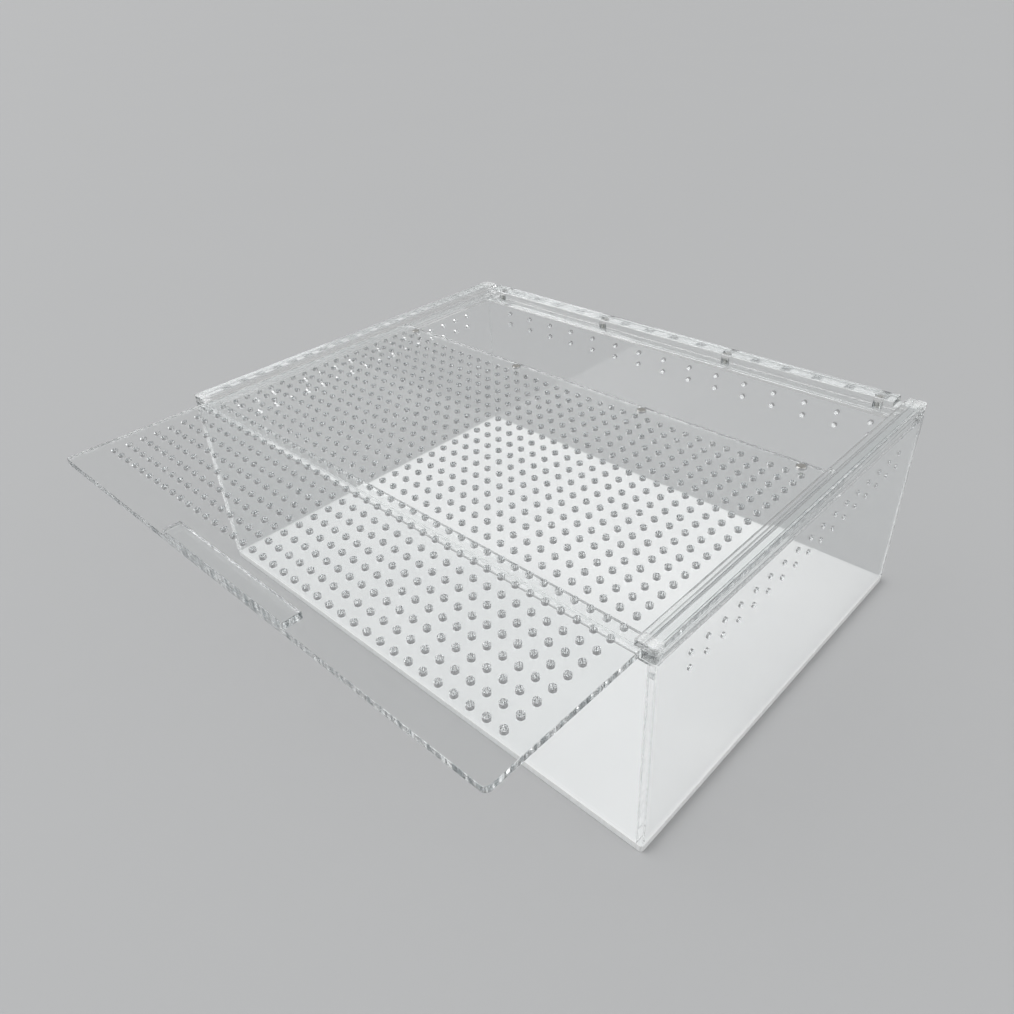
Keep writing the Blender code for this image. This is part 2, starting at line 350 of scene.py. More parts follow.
@dataclass(frozen=True)
class LaserCutEdge:
    """The cut edge of clear sheet, glossy but rippled from face to face.

    The values as they stand are a fresh laser cut, which scatters some of the light. Where the
    edge mirrors the whole inside of the sheet, a share of it is painted near-black: a painted
    reflection of dark surroundings, which keeps the edge readable on pale ground.
    """

    groups: Groups
    tint: tuple[float, float, float] = (0.97, 0.985, 0.985)
    ridge_tint: tuple[float, float, float] = (0.22, 0.25, 0.26)
    # Painted reflection: the near-black colour, its greatest share and its roughness, mixed in from
    # mirror_starts
    painted_dark_reflection: tuple[float, float, float] = (0.05, 0.055, 0.06)
    painted_reflection_share: float = 0.35
    painted_reflection_rough: float = 0.35
    mirror_starts: float = 0.9
    refraction: float = 1.49
    clear_share: float = 0.84
    smooth_rough: float = 0.03
    ridge_rough: float = 0.22
    ripple: float = 430.0
    sweep: float = 190.0
    ridge_height: float = 0.0002
    beam_squeeze: float = 0.14
    passed: float = 0.86

    def make(self, name: str, thin: Thin) -> bpy.types.Material:
        """Build the material for sheets that are thin along one axis.

        Args:
            name: The material's name.
            thin: The axis that the beam ran along.

        Returns:
            The material.
        """
        material, wiring, surface = start_material(name)
        squeeze = [1.0, 1.0, 1.0]
        squeeze[thin.value[2]] = self.beam_squeeze
        place = wiring.add("TexCoord").outputs["Object"]
        along = wiring.add("Mapping", {"Vector": place, "Scale": squeeze}).outputs[0]
        ridges = wiring.group(self.groups.striation, {
            "Vector": along, "Ripple": self.ripple, "Sweep": self.sweep})
        rough = wiring.remap(ridges.outputs["Mask"], 0.0, 1.0, self.smooth_rough, self.ridge_rough)
        bump = wiring.add("Bump", {"Height": ridges.outputs["Height"], "Strength": 1.0,
                                   "Distance": self.ridge_height})
        colour = wiring.add("Mix", {0: ridges.outputs["Mask"], 6: (*self.tint, 1.0),
                                    7: (*self.ridge_tint, 1.0)}, data_type="RGBA")
        glass = wiring.add("BsdfPrincipled", {
            "Base Color": colour.outputs[2], "Roughness": rough, "IOR": self.refraction,
            "Transmission Weight": self.clear_share, "Normal": bump.outputs[0]})
        # Painted reflection: a near-black shader, mixed in by the Fresnel value where the edge mirrors
        # the inside of the sheet
        dark = wiring.add("BsdfPrincipled", {
            "Base Color": (*self.painted_dark_reflection, 1.0), "Roughness": self.painted_reflection_rough, "Normal": bump.outputs[0]})
        mirrored = wiring.add("Fresnel", {"IOR": self.refraction, "Normal": bump.outputs[0]})
        shaded = wiring.remap(mirrored.outputs[0], self.mirror_starts, 1.0, 0.0, self.painted_reflection_share)
        mix = wiring.add("MixShader", {0: shaded, 1: glass.outputs[0], 2: dark.outputs[0]})
        let_lamps_pass(wiring, mix.outputs[0], surface, self.passed)
        return material


@dataclass(frozen=True)
class WhiteAcrylic:
    """Opaque white sheet, glossy, with the same faint handling marks."""

    groups: Groups
    colour: tuple[float, float, float] = (0.85, 0.86, 0.862)
    shaded: tuple[float, float, float] = (0.81, 0.822, 0.826)
    refraction: float = 1.49
    least_rough: float = 0.14
    marked_rough: float = 0.3
    cloud_scale: float = 9.0
    wave_height: float = 0.00005

    def make(self, name: str) -> bpy.types.Material:
        """Build the material and return it."""
        material, wiring, surface = start_material(name)
        place = wiring.add("TexCoord").outputs["Object"]
        marks = wiring.group(self.groups.handling, {"Vector": place})
        rough = wiring.remap(marks.outputs["Marks"], 0.0, 1.0, self.least_rough, self.marked_rough)
        cloud = wiring.add("TexNoise", {"Vector": place, "Scale": self.cloud_scale, "Detail": 4.0})
        blend = wiring.remap(cloud.outputs["Fac"], 0.35, 0.65, 0.0, 1.0)
        colour = wiring.add("Mix", {0: blend, 6: (*self.colour, 1.0), 7: (*self.shaded, 1.0)},
                            data_type="RGBA")
        wave = wiring.add("Bump", {"Height": marks.outputs["Wave"], "Strength": 1.0,
                                   "Distance": self.wave_height})
        sheet = wiring.add("BsdfPrincipled", {
            "Base Color": colour.outputs[2], "Roughness": rough, "IOR": self.refraction,
            "Normal": wave.outputs[0]})
        wiring.tree.links.new(sheet.outputs[0], surface)
        return material


@dataclass(frozen=True)
class WhiteCutEdge:
    """The laser-cut edge of white sheet, duller than its faces and rippled along Z."""

    groups: Groups
    colour: tuple[float, float, float] = (0.84, 0.85, 0.85)
    scorched: tuple[float, float, float] = (0.76, 0.765, 0.76)
    rough: float = 0.34
    ripple: float = 900.0
    sweep: float = 260.0
    ridge_height: float = 0.0002
    beam_squeeze: float = 0.14

    def make(self, name: str) -> bpy.types.Material:
        """Build the material and return it."""
        material, wiring, surface = start_material(name)
        place = wiring.add("TexCoord").outputs["Object"]
        along = wiring.add("Mapping", {"Vector": place, "Scale": (1.0, 1.0, self.beam_squeeze)})
        ridges = wiring.group(self.groups.striation, {
            "Vector": along.outputs[0], "Ripple": self.ripple, "Sweep": self.sweep})
        colour = wiring.add("Mix", {0: ridges.outputs["Mask"], 6: (*self.colour, 1.0),
                                    7: (*self.scorched, 1.0)}, data_type="RGBA")
        bump = wiring.add("Bump", {"Height": ridges.outputs["Height"], "Strength": 1.0,
                                   "Distance": self.ridge_height})
        edge = wiring.add("BsdfPrincipled", {
            "Base Color": colour.outputs[2], "Roughness": self.rough, "Normal": bump.outputs[0]})
        wiring.tree.links.new(edge.outputs[0], surface)
        return material


@dataclass(frozen=True)
class NickelPlate:
    """Polished nickel plating on a pressed disc."""

    groups: Groups
    bright: tuple[float, float, float] = (0.66, 0.65, 0.62)
    dull: tuple[float, float, float] = (0.42, 0.41, 0.39)
    grain_scale: float = 1500.0
    least_rough: float = 0.12
    most_rough: float = 0.32
    grain_height: float = 0.00005

    def make(self, name: str) -> bpy.types.Material:
        """Build the material and return it."""
        material, wiring, surface = start_material(name)
        place = wiring.add("TexCoord").outputs["Object"]
        grain = wiring.add("TexNoise", {"Vector": place, "Scale": self.grain_scale, "Detail": 4.0})
        worn = wiring.remap(grain.outputs["Fac"], 0.42, 0.68, 0.0, 1.0)
        colour = wiring.add("Mix", {0: worn, 6: (*self.bright, 1.0), 7: (*self.dull, 1.0)},
                            data_type="RGBA")
        rough = wiring.remap(grain.outputs["Fac"], 0.3, 0.7, self.least_rough, self.most_rough)
        bump = wiring.add("Bump", {"Height": grain.outputs["Fac"], "Strength": 0.4,
                                   "Distance": self.grain_height})
        plate = wiring.add("BsdfPrincipled", {
            "Base Color": colour.outputs[2], "Metallic": 1.0, "Roughness": rough,
            "Normal": bump.outputs[0]})
        wiring.tree.links.new(plate.outputs[0], surface)
        return material


@dataclass
class Palette:
    """All the finishes, each built once."""

    groups: Groups = field(default_factory=Groups)
    face: bpy.types.Material = field(init=False)
    hazed_face: bpy.types.Material = field(init=False)
    edges: dict[Thin, bpy.types.Material] = field(init=False)
    white_face: bpy.types.Material = field(init=False)
    white_edge: bpy.types.Material = field(init=False)
    trimmed_edges: dict[Thin, bpy.types.Material] = field(init=False)
    sawn_edges: dict[Thin, bpy.types.Material] = field(init=False)
    drilled: dict[Thin, bpy.types.Material] = field(init=False)
    nickel: bpy.types.Material = field(init=False)
    rail_haze_start: float = 0.1435

    def __post_init__(self) -> None:
        """Build the materials."""
        self.face = PolishedAcrylic(self.groups).make("clear_acrylic_face")
        self.hazed_face = PolishedAcrylic(self.groups, haze_ends=self.rail_haze_start).make(
            "clear_acrylic_face_with_hazed_ends")
        # Each cut finish paints a share of near-black reflection where its edge mirrors the inside of the
        # sheet
        cut = LaserCutEdge(self.groups)
        trimmed = LaserCutEdge(self.groups, tint=(0.98, 0.987, 0.987), ridge_tint=(0.94, 0.95, 0.95),
                               clear_share=1.0, smooth_rough=0.0, ridge_rough=0.04, ripple=500.0,
                               sweep=90.0, ridge_height=0.000006, painted_reflection_share=0.2, passed=0.96)
        sawn = LaserCutEdge(self.groups, tint=(0.97, 0.98, 0.98), ridge_tint=(0.86, 0.88, 0.88),
                            clear_share=0.95, smooth_rough=0.09, ridge_rough=0.2, ripple=500.0,
                            sweep=90.0, ridge_height=0.00001, painted_reflection_share=0.3, passed=0.94)
        bored = LaserCutEdge(self.groups, ridge_tint=(0.80, 0.83, 0.84), clear_share=1.0,
                             smooth_rough=0.0, ridge_rough=0.10, ripple=1500.0, sweep=500.0,
                             ridge_height=0.00003, painted_reflection_share=0.5, passed=0.9)
        self.edges = self.each_way(cut, "edges")
        self.trimmed_edges = self.each_way(trimmed, "trimmed_edges")
        self.sawn_edges = self.each_way(sawn, "sawn_edges")
        self.drilled = self.each_way(bored, "drilled")
        self.white_face = WhiteAcrylic(self.groups).make("white_acrylic_face")
        self.white_edge = WhiteCutEdge(self.groups).make("white_acrylic_edge")
        self.nickel = NickelPlate(self.groups).make("nickel_plating")

    @staticmethod
    def each_way(finish: LaserCutEdge, title: str) -> dict[Thin, bpy.types.Material]:
        """Build one finish for the sheets that are thin along each axis."""
        return {thin: finish.make(f"clear_acrylic_{title}_{thin.name.lower()}", thin) for thin in Thin}

    def trimmed(self, thin: Thin) -> list[bpy.types.Material]:
        """Return the finishes of a strip or ledge: polished faces, smooth edges and bored holes."""
        return [self.face, self.trimmed_edges[thin], self.drilled[thin]]

    def sawn(self, thin: Thin) -> list[bpy.types.Material]:
        """Return the finishes of a wall: polished faces, dull edges and bored holes."""
        return [self.face, self.sawn_edges[thin], self.drilled[thin]]

    def hazed(self, thin: Thin) -> list[bpy.types.Material]:
        """Return the finishes of a rail, whose faces are hazed at both ends."""
        return [self.hazed_face, self.trimmed_edges[thin], self.drilled[thin]]

    def cut(self, thin: Thin) -> list[bpy.types.Material]:
        """Return the finishes of a loose sheet, whose laser-cut edges are left as they are."""
        return [self.face, self.edges[thin], self.drilled[thin]]


@dataclass
class Holes:
    """Round holes of one diameter through a sheet, each in its own square of the sheet's grid."""

    along: np.ndarray
    across: np.ndarray
    diameter: float
    block_along: float = 0.0
    block_across: float = 0.0

    def lines(self) -> tuple[np.ndarray, np.ndarray]:
        """Work out the grid lines that the holes need.

        Returns:
            The lines along and across the sheet: five through each square, none where the
            square has no size of its own.
        """
        return (self.five(self.along, self.block_along), self.five(self.across, self.block_across))

    @staticmethod
    def five(centres: np.ndarray, block: float) -> np.ndarray:
        """Return five lines round each centre, or none for a block of no size."""
        if block == 0:
            return np.zeros(0)
        return (np.unique(centres)[:, None] + block * BLOCK_LINE_SHARES).ravel()


def merged(parts: list[np.ndarray]) -> np.ndarray:
    """Return all the lines in order, with those that lie together as one."""
    lines = np.sort(np.concatenate(parts))
    return lines[np.concatenate(([True], np.diff(lines) > SAME_LINE))]


def block_starts(lines: np.ndarray, centres: np.ndarray) -> np.ndarray:
    """Find where each hole's square of four intervals starts among the grid lines.

    Args:
        lines: The grid lines.
        centres: The holes' centres along the same axis.

    Returns:
        The index of each square's first line: the square whose middle line is nearest.
    """
    nearest = np.abs(lines[None, :] - centres[:, None]).argmin(1)
    return np.clip(nearest - 2, 0, len(lines) - 5)


@dataclass
class SheetMesh:
    """A flat sheet with rounded corners, chamfered edges and round holes, as arrays.

    Both faces are one grid of lines. A square of four by four cells gives way to a ring of
    sixteen quads round each hole. Round the grid, quads reach the outline, and a fan from the
    grid's corner fills each rounded corner.
    """

    low: np.ndarray
    high: np.ndarray
    radii: tuple[float, float, float, float]
    chamfer: float
    holes: list[Holes]
    border: float = 0.0
    arc_segments: int = 6
    grid_inset: float = 0.0001

    def __post_init__(self) -> None:
        """Lay out the grid lines, down to the border where it is narrower than a corner."""
        self.border = self.border or max(self.radii) + self.grid_inset
        self.u, self.v = (self.lines(axis) for axis in (0, 1))

    def lines(self, axis: int) -> np.ndarray:
        """Lay out the grid lines across one axis.

        Where the border is narrower than the corners' radius, lines at a radius times one less
        the sine of an angle carry the corners, unless a hole's own lines lie there already.

        Args:
            axis: The axis of the sheet.

        Returns:
            The places of the lines, in order.
        """
        low, high, radius = self.low[axis], self.high[axis], max(self.radii)
        inside = merged([np.array((low + self.border, high - self.border)),
                         *(holes.lines()[axis] for holes in self.holes)])
        if self.border >= radius:
            return inside
        zone = radius * (1 - np.sin(np.linspace(0, pi / 6, 3)))
        parts = [inside]
        for end, direction, nearest in ((low, 1, inside[1]), (high, -1, inside[-2])):
            if abs(nearest - end) > radius:
                parts.append(end + direction * zone)
        return merged(parts)

    def reach(self, places: np.ndarray, axis: int, radii: tuple[float, float],
              inset: float) -> np.ndarray:
        """Work out how far the outline stays inside a side at places along it.

        It is the inset, and within a corner's radius the radius less the root of the square of
        radius less inset, less the square of the distance to the corner's centre.

        Args:
            places: The places along the side.
            axis: The axis that the side runs along.
            radii: The radii at its low and its high end.
            inset: How far inside the full outline the loop runs.

        Returns:
            The distances from the full side.
        """
        result = np.full(len(places), inset)
        ends = ((places - self.low[axis], radii[0]), (self.high[axis] - places, radii[1]))
        for distance, radius in ends:
            bend = distance < radius
            depth = (radius - inset) ** 2 - (radius - distance[bend]) ** 2
            result[bend] = radius - np.sqrt(depth)
        return result

    def outline(self, inset: float) -> np.ndarray:
        """Work out the outline, counter-clockwise from the lower end of the right side.

        Each side repeats the grid's lines. Each corner is an arc about a centre one radius in
        from both edges: centre plus (radius less inset) times the cosine and sine of the angle.

        Args:
            inset: How far inside the full outline the loop runs.

        Returns:
            The loop's points in the sheet's own two axes.
        """
        (u0, v0), (u1, v1) = self.low[:2], self.high[:2]
        upper_right, upper_left, lower_left, lower_right = self.radii
        corners = ((u1, v1, -1, -1), (u0, v1, 1, -1), (u0, v0, 1, 1), (u1, v0, -1, 1))
        right = u1 - self.reach(self.v, 1, (lower_right, upper_right), inset)
        left = u0 + self.reach(self.v, 1, (lower_left, upper_left), inset)
        above = v1 - self.reach(self.u, 0, (upper_left, upper_right), inset)
        below = v0 + self.reach(self.u, 0, (lower_left, lower_right), inset)
        sides = (np.stack((right, self.v), 1), np.stack((self.u, above), 1)[::-1],
                 np.stack((left, self.v), 1)[::-1], np.stack((self.u, below), 1))
        parts = []
        for quarter, (side, (cu, cv, su, sv)) in enumerate(zip(sides, corners)):
            radius = self.radii[quarter]
            start = np.arcsin(max(0.0, radius - self.border) / (radius - inset))
            turn = quarter * pi / 2 + np.linspace(start, pi / 2 - start, self.arc_segments + 1)
            centre = np.array((cu + su * radius, cv + sv * radius))
            arc = centre + (radius - inset) * np.stack((np.cos(turn), np.sin(turn)), 1)
            parts += [side, arc]
        return np.concatenate(parts)

    def rings(self) -> tuple[np.ndarray, np.ndarray, np.ndarray]:
        """Work out the holes.

        Returns:
            Each hole's sixteen grid points, its sixteen circle points, and the mask of grid
            cells that stay.
        """
        count_v = len(self.v)
        keep = np.ones((len(self.u) - 1, count_v - 1), bool)
        ring = np.array(BLOCK_RING)
        turn = np.arange(len(ring)) * 2 * pi / len(ring)
        unit = np.stack((np.cos(turn), np.sin(turn)), 1)
        around, circles = [np.zeros((0, len(ring)), int)], [np.zeros((0, len(ring), 2))]
        for holes in self.holes:
            first_u, first_v = block_starts(self.u, holes.along), block_starts(self.v, holes.across)
            for step_u in range(4):
                for step_v in range(4):
                    keep[first_u + step_u, first_v + step_v] = False
            around.append((first_u[:, None] + ring[:, 0]) * count_v + first_v[:, None] + ring[:, 1])
            centres = np.stack((holes.along, holes.across), 1)
            circles.append(centres[:, None, :] + unit * holes.diameter / 2)
        return np.concatenate(around), np.concatenate(circles), keep

    def arrays(self) -> tuple[np.ndarray, list[np.ndarray], list[np.ndarray], list[np.ndarray]]:
        """Put the whole sheet together.

        Returns:
            The points in the sheet's own three axes, and the arrays of polished faces, of cut
            faces and of the holes' walls, as rows of three or four point numbers.
        """
        count_u, count_v = len(self.u), len(self.v)
        grid = np.stack(np.meshgrid(self.u, self.v, indexing="ij"), 2).reshape(-1, 2)
        around, circles, keep = self.rings()
        inner, outer = self.outline(self.chamfer), self.outline(0.0)
        flat = np.concatenate((grid, circles.reshape(-1, 2), inner))
        circle_ids = len(grid) + np.arange(circles.shape[0] * circles.shape[1]).reshape(circles.shape[:2])
        loop = len(grid) + circle_ids.size + np.arange(len(inner))
        number = np.arange(count_u * count_v).reshape(count_u, count_v)

        cells = np.stack((number[:-1, :-1], number[1:, :-1], number[1:, 1:], number[:-1, 1:]), 2)[keep]
        next_around, next_circle = np.roll(around, -1, 1), np.roll(circle_ids, -1, 1)
        ring_quads = np.stack((around, next_around, next_circle, circle_ids), 2).reshape(-1, 4)
        frames, fans = [], []
        start = 0
        for side in (number[-1, :], number[::-1, -1], number[0, ::-1], number[:, 0]):
            edge = loop[start:start + len(side)]
            frames.append(np.stack((side[:-1], edge[:-1], edge[1:], side[1:]), 1))
            last = start + len(side) - 1
            fan = loop[np.arange(last, last + self.arc_segments + 3) % len(loop)]
            fans.append(np.stack((np.full(len(fan) - 1, side[-1]), fan[:-1], fan[1:]), 1))
            start += len(side) + self.arc_segments + 1

        size, edge_size = len(flat), len(outer)
        heights = (self.high[2], self.low[2], self.high[2] - self.chamfer, self.low[2] + self.chamfer)
        layers = [np.column_stack((points, np.full(len(points), height)))
                  for points, height in zip((flat, flat, outer, outer), heights)]
        upper, lower = 2 * size + np.arange(edge_size), 2 * size + edge_size + np.arange(edge_size)
        bands = [np.stack((below, np.roll(below, -1), np.roll(above, -1), above), 1)
                 for below, above in ((loop + size, lower), (lower, upper), (upper, loop))]
        walls = np.stack((next_circle + size, circle_ids + size, circle_ids, next_circle), 2)
        walls = walls.reshape(-1, 4)
        top = [cells, ring_quads, *frames, *fans]
        polished = top + [faces[:, ::-1] + size for faces in top]
        return np.concatenate(layers), polished, bands, [walls]


def add_mesh(name: str, points: np.ndarray, faces: list[np.ndarray], slots: list[int],
             materials: list[bpy.types.Material]) -> bpy.types.Object:
    """Make an object of arrays, leaving out points that no face uses.

    Args:
        name: The object's name.
        points: Its points in world axes.
        faces: Arrays of faces, as rows of point numbers.
        slots: The material slot of each array.
        materials: The materials.

    Returns:
        The object, shaded smooth with its sharp edges marked.
    """
    used = np.unique(np.concatenate([group.ravel() for group in faces]))
    renumber = np.zeros(len(points), int)
    renumber[used] = np.arange(len(used))
    mesh = bpy.data.meshes.new(name)
    rows = [row for group in faces for row in renumber[group].tolist()]
    mesh.from_pydata(points[used].tolist(), [], rows)
    numbers = np.concatenate([np.full(len(group), slot) for group, slot in zip(faces, slots)])
    mesh.polygons.foreach_set("material_index", numbers.astype(np.int32))
    for material in materials:
        mesh.materials.append(material)
    mesh.shade_smooth()
    mesh.set_sharp_from_angle(angle=SHARP_ANGLE)
    mesh.update()
    item = bpy.data.objects.new(name, mesh)
    bpy.context.scene.collection.objects.link(item)
    return item


@dataclass
class Sheet:
    """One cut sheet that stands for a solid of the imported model."""

    name: str
    node: str
    body: str
    thin: Thin
    bond_low: tuple[int, int, int] = (0, 0, 0)
    bond_high: tuple[int, int, int] = (0, 0, 0)
    corner: float = 0.0004
    rounded: tuple[bool, bool, bool, bool] = (False, False, False, False)
    rounding: float = 0.002
    chamfer: float = 0.00025
    holes: list[Holes] = field(default_factory=list)
    border: float = 0.0

    def extent(self) -> tuple[np.ndarray, np.ndarray]:
        """Work out the sheet's corners: its solid's, reaching over the gap where it is bonded.

        Returns:
            The lowest and the highest corner in world axes.
        """
        low, high = (np.array(corner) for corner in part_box(self.node))
        reach = SOLID_GAP + BOND_OVERLAP
        return low - reach * np.array(self.bond_low), high + reach * np.array(self.bond_high)

    def build(self, finishes: list[bpy.types.Material], slot: Slot) -> bpy.types.Object:
        """Build the sheet and let it stand for its solid.

        Args:
            finishes: The finish of its polished faces, of its cut edges and, if it has holes,
                of their walls.
            slot: Not used.

        Returns:
            The object.
        """
        order = list(self.thin.value)
        low, high = (corner[order] for corner in self.extent())
        radii = tuple(self.rounding if is_round else self.corner for is_round in self.rounded)
        shape = SheetMesh(low, high, radii, self.chamfer, self.holes, self.border)
        flat, *groups = shape.arrays()
        points = np.zeros_like(flat)
        points[:, order] = flat
        slots = [number for number, group in enumerate(groups) for _ in group]
        faces = [array for group in groups for array in group]
        item = add_mesh(self.name, points, faces, slots, finishes)
        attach(item, self.body)
        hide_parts(self.node)
        REPORT.info("%s stands for %s on %s: %d faces", self.name, self.node, self.body,
                    len(item.data.polygons))
        return item


@dataclass
class DiscMagnets:
    """Plated discs with rounded rims, one for each solid of a row."""

    stem: str
    body: str
    count: int = 4
    rim_radius: float = 0.0004
    rim_segments: int = 4
    sides: int = 32

    def build(self, finish: bpy.types.Material) -> None:
        """Turn a profile about each disc's axis.

        The profile runs up the rim: a quarter arc, the straight side and a quarter arc. Each
        point is the axis plus its radius times the cosine and sine of the turn.

        Args:
            finish: The plating.
        """
        for number in range(1, self.count + 1):
            node = f"{self.stem}_{number}"
            low, high = (np.array(corner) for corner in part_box(node))
            middle, radius = (low + high) / 2, (high[0] - low[0]) / 2
            bend = np.linspace(0, pi / 2, self.rim_segments + 1)
            inner = radius - self.rim_radius
            reach = inner + self.rim_radius * np.concatenate((np.sin(bend), np.cos(bend)))
            rise = np.concatenate((low[2] + self.rim_radius * (1 - np.cos(bend)),
                                   high[2] - self.rim_radius * (1 - np.sin(bend))))
            turn = np.arange(self.sides) * 2 * pi / self.sides
            points = np.stack((middle[0] + reach[:, None] * np.cos(turn),
                               middle[1] + reach[:, None] * np.sin(turn),
                               np.broadcast_to(rise[:, None], (len(rise), self.sides))), 2)
            ids = np.arange(len(rise) * self.sides).reshape(len(rise), self.sides)
            ahead = np.roll(ids, -1, 1)
            band = np.stack((ids[:-1], ahead[:-1], ahead[1:], ids[1:]), 2).reshape(-1, 4)
            caps = np.stack((ids[0, ::-1], ids[-1]))
            item = add_mesh(f"{node}_disc", points.reshape(-1, 3), [band, caps], [0, 0], [finish])
            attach(item, self.body)
            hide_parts(node)
            REPORT.info("%s_disc stands for %s on %s", node, node, self.body)


@dataclass
class BoxShell:
    """The white floor panel, the four walls and the ledges under the lid."""

    palette: Palette
    vent_diameter: float = 0.0034
    vent_block: float = 0.006
    vent_row_pitch: float = 0.010
    vent_top_margin: float = 0.0146
    vent_rows: int = 2
    side_vent_pitch: float = 0.01485
    side_vents: int = 17
    back_vent_pitch: float = 0.0241
    back_vents: int = 15
    floor_corner: float = 0.002

    def vents(self, wall: str, count: int, pitch: float, thin: Thin) -> Holes:
        """Lay out the two rows of vents under a wall's top edge.

        Args:
            wall: The wall's solid.
            count: How many vents a row has.
            pitch: Their pitch.
            thin: The axis that the wall is thin along.

        Returns:
            The holes, in the wall's own axes.
        """
        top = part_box(wall)[1].z
        heights = top - self.vent_top_margin - self.vent_row_pitch * np.arange(self.vent_rows)
        places = (np.arange(count) - (count - 1) / 2) * pitch
        run, rise = (axis.ravel() for axis in np.meshgrid(places, heights))
        along, across = (run, rise) if thin is Thin.ALONG_X else (rise, run)
        return Holes(along, across, self.vent_diameter, self.vent_block, self.vent_block)

    def build(self) -> None:
        """Build the shell from the floor up."""
        Sheet("floor_sheet", "floor_panel", "box", Thin.ALONG_Z, rounded=(True,) * 4,
              rounding=self.floor_corner).build([self.palette.white_face, self.palette.white_edge],
                                                Slot.WHITE)
        for side in ("left", "right"):
            holes = self.vents(f"{side}_wall", self.side_vents, self.side_vent_pitch, Thin.ALONG_X)
            Sheet(f"{side}_wall_sheet", f"{side}_wall", "box", Thin.ALONG_X, bond_low=(0, 0, 1),
                  holes=[holes]).build(self.palette.sawn(Thin.ALONG_X), Slot.CLEAR)
        back_holes = self.vents("back_wall", self.back_vents, self.back_vent_pitch, Thin.ALONG_Y)
        for side, holes in (("front", []), ("back", [back_holes])):
            Sheet(f"{side}_wall_sheet", f"{side}_wall", "box", Thin.ALONG_Y, bond_low=(1, 0, 1),
                  bond_high=(1, 0, 0), holes=holes).build(self.palette.sawn(Thin.ALONG_Y), Slot.CLEAR)
        bonds = {"left": ((1, 1, 0), (0, 1, 0)), "right": ((0, 1, 0), (1, 1, 0)),
                 "front": ((1, 1, 0), (1, 0, 0)), "back": ((1, 0, 0), (1, 1, 0))}
        for side, (bond_low, bond_high) in bonds.items():
            Sheet(f"{side}_ledge_bar", f"{side}_ledge", "box", Thin.ALONG_Z, bond_low, bond_high).build(
                self.palette.trimmed(Thin.ALONG_Z), Slot.CLEAR)


@dataclass
class LidRails:
    """The spacers, the strips over the lid and the magnets behind it."""

    palette: Palette
    magnet_seat_gap: float = 0.0006
    magnet_block: float = 0.0072

    def magnet_seats(self) -> Holes:
        """Lay out the holes of the back spacer round their magnets' solids."""
        boxes = [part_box(f"box_magnet_{number}") for number in range(1, 5)]
        middles = np.array([(low + high) / 2 for low, high in boxes])
        diameter = boxes[0][1].x - boxes[0][0].x + self.magnet_seat_gap
        return Holes(middles[:, 0], middles[:, 1], diameter, self.magnet_block, self.magnet_block)

    def build(self) -> None:
        """Build the rails from the spacers up."""
        rail, clear = self.palette.hazed(Thin.ALONG_Z), self.palette.trimmed(Thin.ALONG_Z)
        outer_left, outer_right = (False, True, True, False), (True, False, False, True)
        for side, rounded in (("left", outer_left), ("right", outer_right)):
            Sheet(f"{side}_spacer_bar", f"{side}_spacer", "box", Thin.ALONG_Z, (0, 0, 1), (0, 0, 1),
                  rounded=rounded).build(rail, Slot.CLEAR)
            Sheet(f"{side}_top_bar", f"{side}_top_strip", "box", Thin.ALONG_Z,
                  rounded=rounded).build(rail, Slot.CLEAR)
        Sheet("back_spacer_bar", "back_spacer", "box", Thin.ALONG_Z, (1, 0, 1), (1, 0, 1),
              holes=[self.magnet_seats()]).build(clear, Slot.CLEAR)
        Sheet("back_top_bar", "back_top_strip", "box", Thin.ALONG_Z).build(clear, Slot.CLEAR)
        DiscMagnets("box_magnet", "box").build(self.palette.nickel)


@dataclass
class SlidingLid:
    """The perforated lid with its handle bar and magnets."""

    palette: Palette
    hole_diameter: float = 0.004
    column_pitch: float = 0.0098
    row_pitch: float = 0.00995
    columns: int = 37
    rows: int = 26
    first_row_setback: float = 0.0258
    corner: float = 0.003
    border: float = 0.0011
    magnet_seat_gap: float = 0.0006
    magnet_block: float = 0.0068

    def lattice(self) -> Holes:
        """Lay out the ventilation holes in columns and rows, centred across the lid."""
        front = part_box("lid_panel")[0].y
        places = (np.arange(self.columns) - (self.columns - 1) / 2) * self.column_pitch
        setbacks = front + self.first_row_setback + np.arange(self.rows) * self.row_pitch
        along, across = (axis.ravel() for axis in np.meshgrid(places, setbacks))
        return Holes(along, across, self.hole_diameter, self.column_pitch, self.row_pitch)

    def magnet_seats(self) -> Holes:
        """Lay out the holes round the magnets, on the lattice's own lines across the lid."""
        boxes = [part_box(f"lid_magnet_{number}") for number in range(1, 5)]
        middles = np.array([(low + high) / 2 for low, high in boxes])
        diameter = boxes[0][1].x - boxes[0][0].x + self.magnet_seat_gap
        return Holes(middles[:, 0], middles[:, 1], diameter, 0.0, self.magnet_block)

    def build(self) -> None:
        """Build the lid and what is on it."""
        finishes = self.palette.cut(Thin.ALONG_Z)
        Sheet("lid_sheet", "lid_panel", "lid", Thin.ALONG_Z, rounded=(True,) * 4, rounding=self.corner,
              holes=[self.lattice(), self.magnet_seats()], border=self.border).build(finishes, Slot.CLEAR)
        Sheet("handle_bar", "lid_handle", "lid", Thin.ALONG_Z, bond_low=(0, 0, 1)).build(
            finishes, Slot.CLEAR)
        DiscMagnets("lid_magnet", "lid").build(self.palette.nickel)


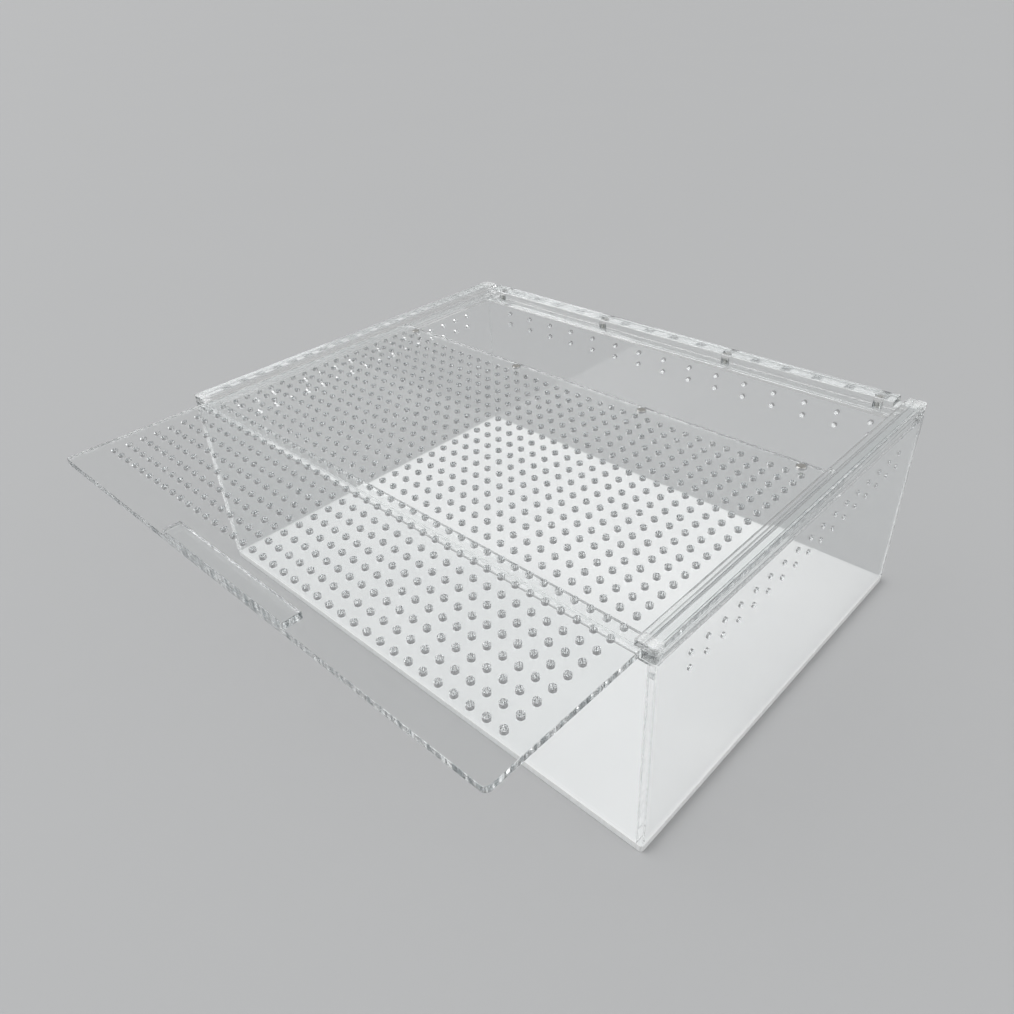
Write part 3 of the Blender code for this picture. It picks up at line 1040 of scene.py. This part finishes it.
@dataclass
class Studio:
    """The pale floor, the soft lamps and the camera."""

    camera_place: tuple[float, float, float] = (0.3404, -0.37454, 0.39995)
    camera_tilt: float = radians(56.038)
    camera_roll: float = radians(-3.212)
    camera_heading: float = radians(45.334)
    lens: float = 29.22
    clip_start: float = 0.01
    floor_half: float = 40.0
    floor_colour: tuple[float, float, float] = (0.43, 0.435, 0.44)
    floor_shade_share: float = 0.985
    floor_rough: float = 0.7
    cloud_scale: float = 2.5
    horizon: float = 0.5
    zenith: float = 0.45
    zenith_height: float = 0.9
    lamp_spread: float = radians(60)
    key_direction: tuple[float, float, float] = (-4.05, -2.25, 4.5)
    key_strength: float = 2.1
    side_direction: tuple[float, float, float] = (3.9, 1.05, 2.7)
    side_strength: float = 1.05
    bounces: int = 64

    def add_camera(self) -> None:
        """Place the camera where the photograph was taken from."""
        data = bpy.data.cameras.new("camera")
        data.lens = self.lens
        data.clip_start = self.clip_start
        camera = bpy.data.objects.new("camera", data)
        turn = (Matrix.Rotation(self.camera_heading, 4, "Z") @ Matrix.Rotation(self.camera_tilt, 4, "X")
                @ Matrix.Rotation(self.camera_roll, 4, "Z"))
        camera.matrix_world = Matrix.Translation(self.camera_place) @ turn
        bpy.context.scene.collection.objects.link(camera)
        bpy.context.scene.camera = camera

    def add_floor(self) -> None:
        """Lay the pale floor just under the box."""
        half = self.floor_half
        mesh = bpy.data.meshes.new("studio_floor")
        mesh.from_pydata([(-half, -half, 0), (half, -half, 0), (half, half, 0), (-half, half, 0)],
                         [], [(0, 1, 2, 3)])
        material, wiring, surface = start_material("studio_floor")
        place = wiring.add("TexCoord").outputs["Object"]
        cloud = wiring.add("TexNoise", {"Vector": place, "Scale": self.cloud_scale, "Detail": 3.0})
        darker = tuple(self.floor_shade_share * value for value in self.floor_colour)
        colour = wiring.add("Mix", {0: cloud.outputs["Fac"], 6: (*self.floor_colour, 1.0),
                                    7: (*darker, 1.0)}, data_type="RGBA")
        paper = wiring.add("BsdfPrincipled", {
            "Base Color": colour.outputs[2], "Roughness": self.floor_rough, "Specular IOR Level": 0.2})
        wiring.tree.links.new(paper.outputs[0], surface)
        mesh.materials.append(material)
        floor = bpy.data.objects.new("studio_floor", mesh)
        bpy.context.scene.collection.objects.link(floor)

    def add_sky(self) -> None:
        """Light the scene softly from all round, with the horizon as pale as the floor."""
        world = bpy.data.worlds.new("studio_world")
        world.use_nodes = True
        world.node_tree.nodes.clear()
        wiring = Wiring(world.node_tree)
        up = wiring.add("SeparateXYZ", {0: wiring.add("TexCoord").outputs["Generated"]}).outputs["Z"]
        level = wiring.remap(up, 0.0, self.zenith_height, self.horizon, self.zenith)
        sky = wiring.add("Background", {"Color": (1.0, 1.0, 1.0, 1.0), "Strength": level})
        output = wiring.add("OutputWorld")
        wiring.tree.links.new(sky.outputs[0], output.inputs["Surface"])
        bpy.context.scene.world = world

    def add_soft_lamp(self, name: str, direction: tuple[float, float, float],
                      strength: float) -> None:
        """Hang a wide soft lamp so far away that it lights the whole floor alike.

        Args:
            name: The lamp's name.
            direction: The direction towards the lamp.
            strength: Its strength in watts a square metre.
        """
        data = bpy.data.lights.new(name, "SUN")
        data.angle = self.lamp_spread
        data.energy = strength
        lamp = bpy.data.objects.new(name, data)
        lamp.location = direction
        lamp.rotation_mode = "QUATERNION"
        lamp.rotation_quaternion = (-Vector(direction)).to_track_quat("-Z", "Y")
        bpy.context.scene.collection.objects.link(lamp)

    def build(self) -> None:
        """Set up the whole studio."""
        self.add_camera()
        self.add_floor()
        self.add_sky()
        self.add_soft_lamp("key_lamp", self.key_direction, self.key_strength)
        self.add_soft_lamp("side_lamp", self.side_direction, self.side_strength)
        scene = bpy.context.scene
        scene.view_settings.view_transform = "Standard"
        for kind in ("max_bounces", "transmission_bounces", "glossy_bounces", "transparent_max_bounces"):
            setattr(scene.cycles, kind, self.bounces)
        REPORT.info("studio is set")


def main() -> None:
    """Build the terrarium's looks in order."""
    logging.basicConfig(level=logging.INFO, format="%(name)s: %(message)s")
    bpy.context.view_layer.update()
    Studio().build()
    palette = Palette()
    BoxShell(palette).build()
    LidRails(palette).build()
    SlidingLid(palette).build()


if __name__ == "__main__":
    main()
